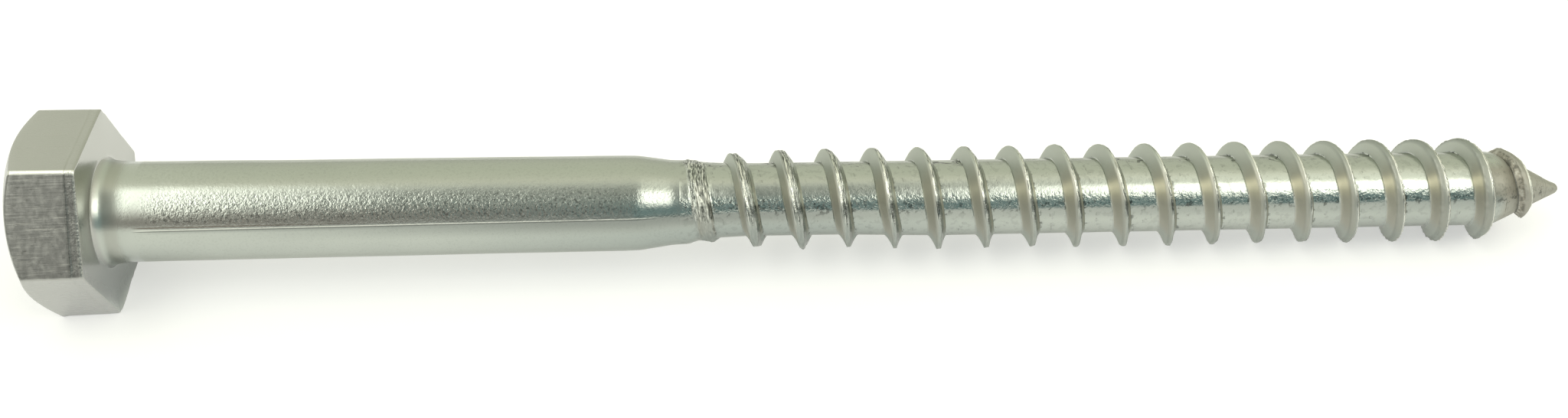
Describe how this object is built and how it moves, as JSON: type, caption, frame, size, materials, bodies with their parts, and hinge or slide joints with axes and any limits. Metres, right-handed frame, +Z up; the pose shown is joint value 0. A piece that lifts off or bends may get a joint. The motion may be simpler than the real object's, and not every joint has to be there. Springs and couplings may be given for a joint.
{
  "type": "lag screw",
  "caption": "Hexagon-head lag screw in stainless steel, with a plain shank, a reduced neck, a coarse right-hand wood thread and a blunt conical point, lying at rest.",
  "frame": {"origin": "centre of the head's bearing face, where the shank starts", "axes": "+X towards the point, dipping 1.55 degrees as the screw lies at rest; +Z up; the hexagon has one flat down"},
  "size_m": [0.1483, 0.0196, 0.0172],
  "materials": {
    "stainless_steel": "satin, pale, faintly green; fine scratches on the head's flats, peened and lapped marks on the thread"
  },
  "bodies": {
    "root": {"lag_screw": "stainless_steel"}
  },
  "joints": []
}
